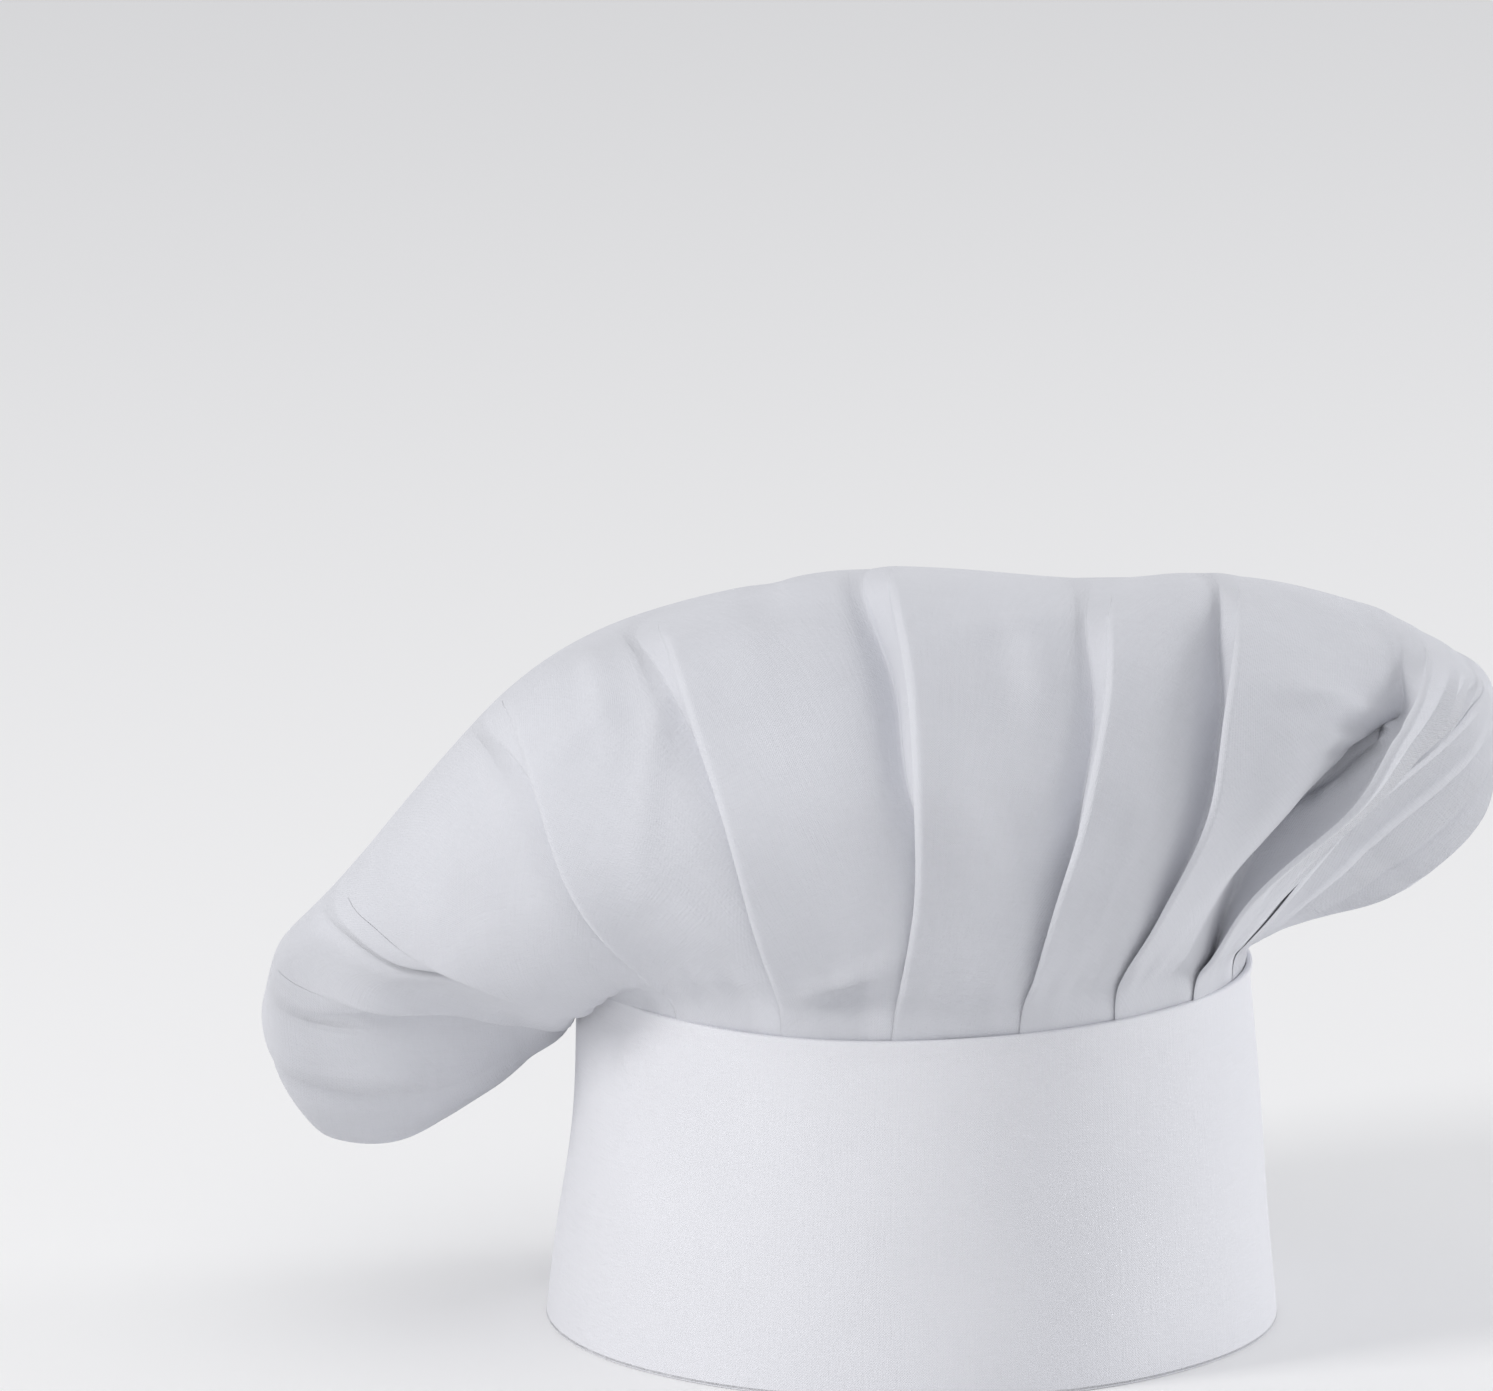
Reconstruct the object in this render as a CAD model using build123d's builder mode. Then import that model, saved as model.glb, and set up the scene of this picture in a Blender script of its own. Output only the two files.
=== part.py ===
"""A floppy chef toque: a stiffened band, a soft pleated crown sewn into it, and a hook-and-loop closure.

Millimetres, +Z up. The origin is the centre of the head opening, in the plane that the band stands on.
The wearer's face is towards -Y, the closure is at +Y, and the crown flops over towards -X.
"""

import math
import os

from build123d import *

# Driving dimensions of the band: an oval of four tangent arcs that narrows towards its top.
band_height = 90.0
half_width = 91.0  # X, at the bottom edge
half_depth = 100.0  # Y, at the bottom edge
end_radius = 84.0  # the front and back arcs, at the bottom edge
flare = 4.85  # degrees that the wall leans inwards

# Cloth and tape thicknesses. Layers are a hair apart, so that their curved faces don't cross.
cloth = 0.7
stiffener = 0.8
tape = 1.2
thread = 0.35
layer_gap = 0.05

# Each layer's inset from the band's outer face, measured level.
stiffener_at = cloth + layer_gap
lining_at = stiffener_at + stiffener + layer_gap
band_thickness = lining_at + cloth
binding_at = band_thickness + layer_gap
binding_thickness = 0.6

# The crown's edge is sewn into the band's top, between the outer cloth and the stiffener.
seam_allowance = 10.0
neck_top = 122.0  # inside the crown, where the neck is trimmed away
hem_clearance = 0.3  # of the crown's slit above the closure

# The closure, in degrees round the back arc's centre from +Y towards -X.
tab_root = 30.0
tab_tip = -28.0
ramp_start = -41.0  # where the band starts to duck under the tab
underlap_end = 20.0
hinge_gap = 0.3  # between the band's end and the tab, in millimetres
tab_low, tab_high = 1.0, band_height - 1.0
underlap_low, underlap_high = 1.5, band_height - 1.0
hook_start, hook_end = -25.0, 2.0
loop_start, loop_end = -26.0, 18.0
tape_low, tape_high = 32.0, 57.0
hook_at = band_thickness + layer_gap
loop_at = hook_at + tape + layer_gap
underlap_at = loop_at + tape + layer_gap
stitch_margin = 2.5

# The size label hangs inside, on the wearer's right. Its hem is sewn to the lining.
label_width = 26.0
label_drop = 22.0
label_thickness = 0.6
hem_low, hem_high = 73.5, 76.5
label_clearance = 0.4

# The crown's outer shape: ellipses along a spine in the XZ plane, from the high side to the hanging lobe.
# Each is the spine's x and z, the spine's slope in degrees below -X, half the height and half the depth.
crown_sections = (
    (146.0, 150.0, 0.0, 9.0, 20.0),
    (137.0, 147.0, 0.0, 26.0, 56.0),
    (114.0, 144.5, 0.0, 39.0, 88.0),
    (80.0, 144.5, 0.0, 48.0, 108.0),
    (30.0, 143.0, 0.0, 49.0, 120.0),
    (-22.0, 143.0, 0.0, 49.0, 121.0),
    (-66.0, 138.0, 8.0, 44.0, 108.0),
    (-104.0, 121.0, 36.0, 30.0, 82.0),
    (-130.0, 91.0, 46.0, 31.0, 62.0),
    (-147.0, 65.0, 50.0, 20.0, 40.0),
    (-152.0, 56.0, 50.0, 9.0, 18.0),
)
crown_cloth = 0.8

# Worked out from the driving dimensions.
end_centre = half_depth - end_radius
side_centre = (end_centre**2 - (half_width - end_radius) ** 2) / (2 * (half_width - end_radius))
side_radius = half_width + side_centre
end_half_angle = math.degrees(math.atan2(side_centre, end_centre))
back_axis = Axis((0, end_centre, 0), (0, 0, 1))


def lean(height):
    """How far the wall has leant in at a height."""
    return height * math.tan(math.radians(flare))


def radial(angle):
    """The level direction at a closure angle."""
    turn = math.radians(90 + angle)
    return Vector(math.cos(turn), math.sin(turn), 0)


def add_oval(inset):
    """Fills the band's oval, inset from its bottom edge, in the sketch being built."""
    side_half_angle = 90 - end_half_angle
    with BuildLine() as outline:
        for centre, facing in ((end_centre, 90), (-end_centre, 270)):
            CenterArc((0, centre), end_radius - inset, facing - end_half_angle, 2 * end_half_angle)
        for centre, facing in ((-side_centre, 0), (side_centre, 180)):
            CenterArc((centre, 0), side_radius - inset, facing - side_half_angle, 2 * side_half_angle)
    make_face(outline.edges())


def add_wall(near, far, low, high):
    """Adds the flared oval wall between two insets from the band's outer face."""
    for inset, mode in ((near, Mode.ADD), (far, Mode.SUBTRACT)):
        with BuildSketch(Plane.XY.offset(low)) as oval:
            add_oval(inset + lean(low))
        extrude(oval.sketch, amount=high - low, taper=flare, mode=mode)


def closure_section(angle, near, far, low, high):
    """Draws a layer's cross-section as a sketch on the upright plane at a closure angle."""
    plane = Plane(origin=(0, end_centre, 0), x_dir=radial(angle), z_dir=radial(angle).cross(Vector(0, 0, 1)))
    corners = [
        (end_radius - inset - lean(height), height)
        for inset, height in ((far, low), (near, low), (near, high), (far, high))
    ]
    with BuildSketch(plane) as section:
        with BuildLine():
            Polyline(*corners, close=True)
        make_face()
    return section.sketch


def add_patch(near, far, low, high, start, end, mode=Mode.ADD):
    """Adds a piece of a layer that follows the back arc between two closure angles."""
    section = closure_section(start, near, far, low, high)
    revolve(section, axis=back_axis, revolution_arc=end - start, mode=mode)


def cut_sector(start, end, low, high):
    """Cuts away what lies between two closure angles, over a range of heights."""
    reach = 2 * half_depth
    middle = (start + end) / 2
    rim = [radial(angle) * reach + Vector(0, end_centre, 0) for angle in (start, middle, end)]
    with BuildSketch(Plane.XY.offset(low)) as sector:
        with BuildLine():
            Polyline((0, end_centre), *[(point.X, point.Y) for point in rim], close=True)
        make_face()
    extrude(sector.sketch, amount=high - low, mode=Mode.SUBTRACT)


def add_underlap(near, far, low, high):
    """Adds the ramp that ducks under the tab, and the underlap that follows it."""
    foot = closure_section(ramp_start, near, far, low, high)
    step = closure_section(tab_tip, near + underlap_at, far + underlap_at, low, high)
    loft(sections=[foot, step], ruled=True)
    add_patch(near + underlap_at, far + underlap_at, low, high, tab_tip, underlap_end)


def add_stitch_box(near, far, low, high, start, end):
    """Adds a closed rectangle of thread that follows the back arc."""
    turn = math.degrees(thread / end_radius)
    add_patch(near, far, low, high, start, end)
    add_patch(near, far, low + thread, high - thread, start + turn, end - turn, Mode.SUBTRACT)


def add_puff(inset, mode=Mode.ADD):
    """Adds the crown's lofted shape, inset from its outer face."""
    sections = []
    last = len(crown_sections) - 1
    for number, (x, z, slope, half_height, half_breadth) in enumerate(crown_sections):
        angle = math.radians(slope)
        along = Vector(-math.cos(angle), 0, -math.sin(angle))
        ends_inwards = {0: inset, last: -inset}.get(number, 0)
        centre = Vector(x, 0, z) + along * ends_inwards
        with BuildSketch(Plane(origin=centre, x_dir=(0, 1, 0), z_dir=along)) as section:
            Ellipse(half_breadth - inset, half_height - inset)
        sections.append(section.sketch)
    loft(sections=sections, mode=mode)


def keep_label_width(width):
    """Keeps what lies inside the band on the wearer's right, over a width centred on the X axis."""
    with Locations((-half_width, 0, band_height / 2)):
        Box(half_width, width, 2 * band_height, mode=Mode.INTERSECT)


os.makedirs("parts", exist_ok=True)

# ---- The band: outer cloth, stiffener and lining, each one strip with the ramp and underlap at its end. ----

with BuildPart() as band_outer:
    add_wall(0, lining_at - layer_gap, 0, cloth)
    add_wall(0, cloth, cloth, band_height)
    cut_sector(ramp_start, tab_root, -1, band_height + 1)
    add_underlap(0, cloth, underlap_low, underlap_high)

with BuildPart() as band_interfacing:
    stiffener_top = band_height - seam_allowance - hem_clearance
    add_wall(stiffener_at, stiffener_at + stiffener, cloth + layer_gap, stiffener_top)
    cut_sector(ramp_start, tab_root, -1, band_height + 1)
    add_underlap(stiffener_at, stiffener_at + stiffener, underlap_low, stiffener_top)

with BuildPart() as band_lining:
    add_wall(lining_at, band_thickness, 0, band_height)
    cut_sector(ramp_start, tab_root, -1, band_height + 1)
    add_underlap(lining_at, band_thickness, underlap_low, underlap_high)

# ---- The crown, a hollow shell whose neck is sewn into the band's top, with a hemmed slit at the closure. ----

with BuildPart() as crown:
    with BuildSketch(Plane.XY.offset(band_height - seam_allowance)):
        add_oval(stiffener_at + lean(band_height - seam_allowance))
    extrude(amount=neck_top - band_height + seam_allowance, taper=flare)
    add_puff(0)
    with BuildSketch(Plane.XY.offset(band_height - seam_allowance)):
        add_oval(stiffener_at + crown_cloth + lean(band_height - seam_allowance))
    extrude(amount=neck_top - band_height + seam_allowance, taper=flare, mode=Mode.SUBTRACT)
    add_puff(crown_cloth, mode=Mode.SUBTRACT)
    cut_sector(ramp_start, tab_root, band_height - seam_allowance - 1, band_height + hem_clearance)

with BuildPart() as seam_binding:
    add_wall(binding_at, binding_at + binding_thickness, band_height - seam_allowance - 2, band_height)
    cut_sector(ramp_start, tab_root, -1, band_height + 1)

with BuildPart() as crown_seam_thread:
    seam_thread_at = binding_at + binding_thickness + layer_gap
    seam_thread_low = band_height - seam_allowance / 2
    add_wall(seam_thread_at, seam_thread_at + thread, seam_thread_low, seam_thread_low + thread)
    cut_sector(ramp_start, tab_root, -1, band_height + 1)

# ---- The closure: a tab that peels off the loop tape. ----

tab_start = tab_root - math.degrees(hinge_gap / end_radius)

with BuildPart() as tab_outer:
    add_patch(0, cloth, tab_low, tab_high, tab_tip, tab_start)

with BuildPart() as tab_interfacing:
    add_patch(stiffener_at, stiffener_at + stiffener, tab_low, tab_high, tab_tip, tab_start)

with BuildPart() as tab_lining:
    add_patch(lining_at, band_thickness, tab_low, tab_high, tab_tip, tab_start)

with BuildPart() as hook_tape:
    add_patch(hook_at, hook_at + tape, tape_low, tape_high, hook_start, hook_end)

with BuildPart() as loop_tape:
    add_patch(loop_at, loop_at + tape, tape_low, tape_high, loop_start, loop_end)

# The tapes' stitches show on the cloth's other side: outside the tab, and inside the underlap.
margin_angle = math.degrees(stitch_margin / end_radius)

with BuildPart() as hook_tape_thread:
    add_stitch_box(
        -layer_gap - thread,
        -layer_gap,
        tape_low + stitch_margin,
        tape_high - stitch_margin,
        hook_start + margin_angle,
        hook_end - margin_angle,
    )

with BuildPart() as loop_tape_thread:
    add_stitch_box(
        underlap_at + band_thickness + layer_gap,
        underlap_at + band_thickness + layer_gap + thread,
        tape_low + stitch_margin,
        tape_high - stitch_margin,
        loop_start + margin_angle,
        loop_end - margin_angle,
    )

with BuildPart() as tab_edge_thread:
    add_stitch_box(
        -layer_gap - thread,
        -layer_gap,
        tab_low + stitch_margin,
        tab_high - stitch_margin,
        tab_tip + margin_angle,
        tab_start - margin_angle,
    )

# ---- The size label. ----

with BuildPart() as label_hem:
    add_wall(binding_at, binding_at + label_thickness, hem_low, hem_high)
    keep_label_width(label_width)

with BuildPart() as label_thread:
    label_thread_at = binding_at + label_thickness + layer_gap
    label_thread_low = (hem_low + hem_high) / 2
    add_wall(label_thread_at, label_thread_at + thread, label_thread_low, label_thread_low + thread)
    keep_label_width(label_width - 2)

with BuildPart() as size_label:
    hem_face = half_width - binding_at - label_thickness - lean(hem_high)
    bow = side_radius - math.sqrt(side_radius**2 - (label_width / 2) ** 2)
    label_outside = -(hem_face - bow) + label_clearance
    with Locations((label_outside + label_thickness / 2, 0, hem_low - label_clearance - label_drop / 2)):
        Box(label_thickness, label_width, label_drop)

pieces = {
    "band_outer": band_outer,
    "band_interfacing": band_interfacing,
    "band_lining": band_lining,
    "crown": crown,
    "seam_binding": seam_binding,
    "crown_seam_thread": crown_seam_thread,
    "tab_outer": tab_outer,
    "tab_interfacing": tab_interfacing,
    "tab_lining": tab_lining,
    "hook_tape": hook_tape,
    "loop_tape": loop_tape,
    "hook_tape_thread": hook_tape_thread,
    "loop_tape_thread": loop_tape_thread,
    "tab_edge_thread": tab_edge_thread,
    "label_hem": label_hem,
    "label_thread": label_thread,
    "size_label": size_label,
}
for name, piece in pieces.items():
    piece.part.label = name
    export_step(piece.part, f"parts/{name}.step")
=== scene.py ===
"""The looks of a floppy chef toque: a pleated crown of thin white cloth on a smooth, stiffened band.

Everything is in metres in the CAD model's frame: +Z up, the wearer's face towards -Y, the closure at +Y, and
the crown flopping over towards -X. Shapes are worked out in millimetres and scaled where a mesh is made.
"""

import math

import bmesh
import bpy
import numpy as np
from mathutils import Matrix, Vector


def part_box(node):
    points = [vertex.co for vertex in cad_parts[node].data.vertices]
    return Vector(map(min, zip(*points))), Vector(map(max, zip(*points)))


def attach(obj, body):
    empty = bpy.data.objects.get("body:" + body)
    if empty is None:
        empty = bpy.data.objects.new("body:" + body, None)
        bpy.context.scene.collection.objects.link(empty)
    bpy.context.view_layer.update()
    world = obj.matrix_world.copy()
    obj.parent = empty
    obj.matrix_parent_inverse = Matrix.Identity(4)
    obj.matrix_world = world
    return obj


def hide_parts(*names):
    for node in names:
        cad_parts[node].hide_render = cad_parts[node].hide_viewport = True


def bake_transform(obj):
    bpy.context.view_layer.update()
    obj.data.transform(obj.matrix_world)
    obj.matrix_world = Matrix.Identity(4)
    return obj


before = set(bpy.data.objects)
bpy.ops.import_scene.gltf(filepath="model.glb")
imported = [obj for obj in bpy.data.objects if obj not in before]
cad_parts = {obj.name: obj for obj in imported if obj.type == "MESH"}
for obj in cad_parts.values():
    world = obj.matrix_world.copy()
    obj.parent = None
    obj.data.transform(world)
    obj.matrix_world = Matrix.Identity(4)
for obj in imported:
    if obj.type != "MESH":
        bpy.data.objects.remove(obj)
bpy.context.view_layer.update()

MM = 0.001

# The band's dimensions, as the CAD model has them, in millimetres.
band_low, band_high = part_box("band_outer")
half_width = band_high.x / MM
half_depth = -band_low.y / MM
band_height = band_high.z / MM
flare = math.tan(math.radians(4.85))
# The oval is made of arcs: one at each end and one at each side.
end_radius = 84.0
end_centre = half_depth - end_radius
side_centre = (end_centre**2 - (half_width - end_radius) ** 2) / (2 * (half_width - end_radius))
side_radius = half_width + side_centre
end_half_angle = math.degrees(math.atan2(side_centre, end_centre))
top_inset = band_height * flare

rng = np.random.default_rng(7)


# ---- Helpers ----


def smoothstep(low, high, value):
    t = np.clip((value - low) / (high - low), 0, 1)
    return t * t * (3 - 2 * t)


def bump(value, centre, width):
    return np.exp(-(((value - centre) / width) ** 2))


def turn_bump(angle, centre, width):
    """A smooth bump round a circle, in degrees."""
    return bump((angle - centre + 180) % 360 - 180, 0, width)


def plateau(value, start, end, ease):
    """Rises from 0 to 1 over a distance ease from the start, and falls back before the end."""
    return smoothstep(start, start + ease, value) * (1 - smoothstep(end - ease, end, value))


def hermite(knots, values, at, period=None):
    """Smooth interpolation through values given at knots, along the first axis of values."""
    knots = np.asarray(knots, float)
    if period:
        knots = np.concatenate([knots[-2:] - period, knots, knots[:2] + period])
        values = np.concatenate([values[-2:], values, values[:2]])
        at = (at - knots[2]) % period + knots[2]
    step = np.diff(knots)
    shape = (-1,) + (1,) * (values.ndim - 1)
    slope = np.diff(values, axis=0) / step.reshape(shape)
    weight = (step[1:] / (step[1:] + step[:-1])).reshape(shape)
    inner = slope[:-1] * weight + slope[1:] * (1 - weight)
    tangent = np.concatenate([slope[:1], inner, slope[-1:]])
    index = np.clip(np.searchsorted(knots, at, side="right") - 1, 0, len(knots) - 2)
    span = step[index]
    t = (at - knots[index]) / span
    shape = t.shape + (1,) * (values.ndim - 1)
    t, span = t.reshape(shape), span.reshape(shape)
    return (
        values[index] * (2 * t**3 - 3 * t**2 + 1)
        + tangent[index] * span * (t**3 - 2 * t**2 + t)
        + values[index + 1] * (3 * t**2 - 2 * t**3)
        + tangent[index + 1] * span * (t**3 - t**2)
    )


def new_object(name, vertices, faces):
    """A smooth-shaded mesh object, from vertices in metres."""
    mesh = bpy.data.meshes.new(name)
    mesh.from_pydata(np.asarray(vertices, float).tolist(), [], faces)
    mesh.update()
    mesh.shade_smooth()
    piece = bpy.data.objects.new(name, mesh)
    bpy.context.scene.collection.objects.link(piece)
    return piece


def grid_object(name, points, cloth):
    """A mesh from rows of points in millimetres, each a closed round, and their places on the flat cloth."""
    rows, columns = points.shape[:2]
    first = np.arange(rows - 1)[:, None] * columns
    column = np.arange(columns)
    following = (column + 1) % columns
    second = first + columns
    corners = (first + column, first + following, second + following, second + column)
    faces = np.stack([corner.ravel() for corner in corners], 1)
    piece = new_object(name, points.reshape(-1, 3) * MM, faces.tolist())
    layer = piece.data.uv_layers.new(name="cloth")
    loops = np.empty(len(piece.data.loops), int)
    piece.data.loops.foreach_get("vertex_index", loops)
    layer.data.foreach_set("uv", cloth.reshape(-1, 2)[loops].ravel())
    return piece


# ---- The band's oval, followed by the angle from the front (-Y) towards +X ----


def facing(turn):
    """The direction the wall faces at a turn, in degrees, where turns share out the band's girth evenly."""
    folded = (turn + 180) % 360 - 180
    far = np.abs(folded) > 90
    quarter = np.where(far, 180 - np.abs(folded), np.abs(folded))
    end_share = end_half_angle * (end_radius - top_inset)
    side_share = (90 - end_half_angle) * (side_radius - top_inset)
    gone = quarter / 90 * (end_share + side_share)
    slant = np.where(
        gone <= end_share,
        gone / (end_radius - top_inset),
        end_half_angle + (gone - end_share) / (side_radius - top_inset),
    )
    return np.sign(folded) * np.where(far, 180 - slant, slant)


turn_table = np.linspace(-180, 179.99, 3600)
facing_table = facing(turn_table)


def turn_at(closure_angle):
    """The turn, from 90 to 270, at an angle round the closure from +Y towards -X."""
    past = 360 if closure_angle > 0 else 0
    return float(np.interp(180 + closure_angle - past, facing_table, turn_table)) + past


# Where the closure's pieces start and end.
root_angle = 30
root_turn = turn_at(root_angle)
tip_turn = turn_at(-28)
ramp_turn = turn_at(-41)
underlap_end_turn = turn_at(20)
hook_turns = (turn_at(-25), turn_at(2))
loop_turns = (turn_at(-26), turn_at(18))

# How far in the band's free end runs behind the tab, in millimetres.
duck_depth = 4.85


def oval(turn, inset, height):
    """Points on the band's wall at a turn in degrees, and the outward directions there."""
    angle = np.radians(facing(turn))
    inset = inset + height * flare
    across = np.sin(angle)
    along = -np.cos(angle)
    on_end = np.abs(across) <= math.sin(math.radians(end_half_angle))
    end_x = (end_radius - inset) * across
    end_y = (end_radius - inset) * along + end_centre * np.sign(along)
    side_x = (side_radius - inset) * across - side_centre * np.sign(across)
    side_y = (side_radius - inset) * along
    return np.where(on_end, end_x, side_x), np.where(on_end, end_y, side_y), across, along


def band_dent(turn, height):
    """How far the soft band's wall stands off its plain oval, outwards, in millimetres."""
    waist = -2.4 * turn_bump(turn, -90, 26) * bump(height, 48, 30)
    swell = 0.9 * turn_bump(turn, -35, 40) * bump(height, 40, 30)
    hollow = 0.8 * turn_bump(turn, 28, 16) * bump(height, 52, 26)
    ripple = 0.35 * np.sin(np.radians(5 * turn + 40)) * bump(height, 62, 26)
    ripple = ripple + 0.3 * np.sin(np.radians(9 * turn + 200)) * bump(height, 24, 20)
    return waist + (swell - hollow) + ripple


def band_sag(turn, height):
    """How far the band's soft wall is moved up, in millimetres: its top droops at the front."""
    return -2.2 * turn_bump(turn, -22, 42) * smoothstep(20, band_height, height)


# ---- The crown ----

pleat_count = 18
pleat_step = 360 / pleat_count

# The radius of the circle of cloth that the crown is made from, in metres.
cut_radius = 0.245

# How far along the cloth, from seam to middle, the points of each fold lie.
fold_stations = (0, 0.037, 0.085, 0.18, 0.29, 0.39, 0.5, 0.645, 0.79, 0.9, 1)
crown_middle = (-14, 16, 179)

# Where the crown's folds run, in millimetres. Each row has the pleat's number, counted from the front towards
# +X, and the turn at which it is sewn to the band. Its points are over the collar, low, middle and high on
# the face, on the shoulder and the rim, behind the rim, and on the top.
crown_folds = (
    (-5, -104, (-83.4, 20, 74.5), (-96, 20, 60.5), (-110, 17, 51), (-126.5, 13, 41.8),
     (-143.5, 10, 42.6), (-152, 9, 54), (-150, 16, 77), (-92, 20, 136)),
    (-4.5, -94, (-84.8, 5, 75.5), (-97, 0, 65), (-111, -6, 60.5), (-127, -9, 57),
     (-145, -8, 57.5), (-158.5, -4, 66.5), (-151, 8, 88), (-92, 14, 140)),
    (-4, -83, (-84.3, -13, 77.5), (-98, -25, 79), (-114, -33, 84), (-132, -35, 84.5),
     (-148, -31, 87.5), (-158.5, -22, 91.5), (-146, 2, 98.5), (-90, 11, 143)),
    (-3, -63, (-80.5, -46.5, 86), (-94, -57, 89.5), (-109, -61, 96), (-122, -57, 101),
     (-133, -48, 108), (-140.7, -28, 113.3), (-129, -5, 120.5), (-81, 5, 151)),
    (-2, -42.8, (-65, -74, 99), (-74, -86, 110), (-84, -93, 128), (-91.5, -87, 149.5),
     (-98, -66, 162), (-101.5, -40, 163.5), (-86, -8, 166.5), (-52, 5, 172)),
    (-1, -22.1, (-35, -92, 103), (-39.5, -104, 120), (-46.5, -111, 147), (-54, -98, 167),
     (-60, -75, 181), (-64, -45, 183.5), (-52, -12, 182), (-32, 5, 180)),
    (0, -4.1, (-3.5, -98, 104), (-0.5, -110, 126), (-0.5, -117, 152), (-2, -104, 174),
     (-5, -82, 189), (-9, -48, 196.5), (-9, -14, 189), (-12, 12, 183)),
    (1, 16.9, (28.5, -95, 104), (33.5, -107, 126), (40, -114, 150.5), (45, -102, 172),
     (46.5, -82, 187), (47, -48, 193.5), (38, -13, 187), (17, 10, 183)),
    (2, 35.2, (51, -82, 103), (59, -96, 122), (70, -103, 147), (74, -94, 169),
     (77.5, -74, 184), (80, -42, 193.5), (68, -12, 189), (34, 8, 184)),
    (3, 55.1, (72.5, -63, 103), (85, -78, 125), (104, -82, 145.5), (113, -76, 157),
     (121.5, -62, 167), (125, -37, 177), (111, -6, 178), (58, 6, 181)),
    (4, 72.5, (82, -37, 101), (92.5, -46, 116), (109, -48, 135.5), (124, -42, 148.5),
     (135, -32, 157.5), (141, -16, 162.5), (129, 4, 168), (76, 8, 178)),
    (5, 93, (89, 2, 95.5), (105, 6, 99.5), (123, 10, 106.5), (135, 12, 116),
     (141.5, 13, 127), (143.5, 12, 140), (132, 13, 157), (84, 12, 173)),
    (6, 115, (84, 44, 95), (98, 55, 102), (110, 62, 112), (118, 65, 123),
     (122, 64, 134), (121, 58, 145), (106, 44, 158), (70, 28, 171)),
    (7.7, 150, (46, 88, 96), (54, 102, 106), (61, 112, 118), (64, 117, 130),
     (63, 115, 144), (58, 104, 156), (46, 78, 167), (26, 46, 174)),
    (9.2, 180, (0, 100, 97), (-1, 112, 107), (-2, 120, 119), (-3, 122, 132),
     (-4, 118, 146), (-6, 106, 158), (-9, 78, 168), (-13, 46, 174)),
    (10.7, 210, (-46, 87, 95), (-57, 100, 102), (-69, 107, 110), (-78, 108, 121),
     (-84, 102, 133), (-84, 90, 144), (-70, 68, 156), (-42, 40, 169)),
    (12, 236, (-76, 56, 90), (-88, 60, 76), (-102, 58, 66), (-117, 53, 62),
     (-129, 48, 68), (-134, 43, 84), (-114, 37, 118), (-64, 26, 159)),
)

fold_numbers, fold_feet = np.array([row[:2] for row in crown_folds], float).T

# The crown is sewn in behind the band's outer cloth, a little below its top, and rises over the rolled lip.
seam_inset = 1.45
seam_drop = 4
lip_rise = 0.6


def crown_rows():
    """The crown's fold lines, with their seam, collar and middle points added."""
    sag = band_sag(fold_feet, band_height)
    x, y, nx, ny = oval(fold_feet, seam_inset, band_height - seam_drop)
    seam = np.stack([x, y, band_height - seam_drop + sag], 1)
    x, y, nx, ny = oval(fold_feet, seam_inset, band_height)
    lip = np.stack([x, y, band_height + lip_rise + sag], 1)
    rows = np.array([row[2:] for row in crown_folds], float)
    # Where the cloth hangs below the band's top it rolls over the lip first.
    droop = smoothstep(lip[:, 2] + 1, lip[:, 2] - 7, rows[:, 0, 2])
    outwards = np.stack([nx, ny, 0 * nx], 1)
    collar = lip + (rows[:, 0] - lip) * 0.42 + outwards * (2.8 * droop - 0.9)[:, None]
    collar[:, 2] = np.maximum(collar[:, 2], lip[:, 2] + 2.5 - 1.4 * droop)
    middle = np.broadcast_to(np.array(crown_middle, float), (len(rows), 1, 3))
    return np.concatenate([seam[:, None], collar[:, None], rows, middle], 1)


def crown_base(number, station):
    """The crown's smooth shape, without pleats: points at matching arrays of pleat numbers and stations."""
    shape = np.broadcast(number, station).shape
    number = np.broadcast_to(number, shape).ravel()
    station = np.broadcast_to(station, shape).ravel()
    # Each point is a sum over all fold points, weighted by one share around the crown and one outwards.
    around = hermite(fold_numbers, np.eye(len(fold_numbers)), number, period=pleat_count)
    outward = hermite(fold_stations, np.eye(len(fold_stations)), station)
    return np.einsum("na,nb,abc->nc", around, outward, crown_rows()).reshape(shape + (3,))


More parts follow.
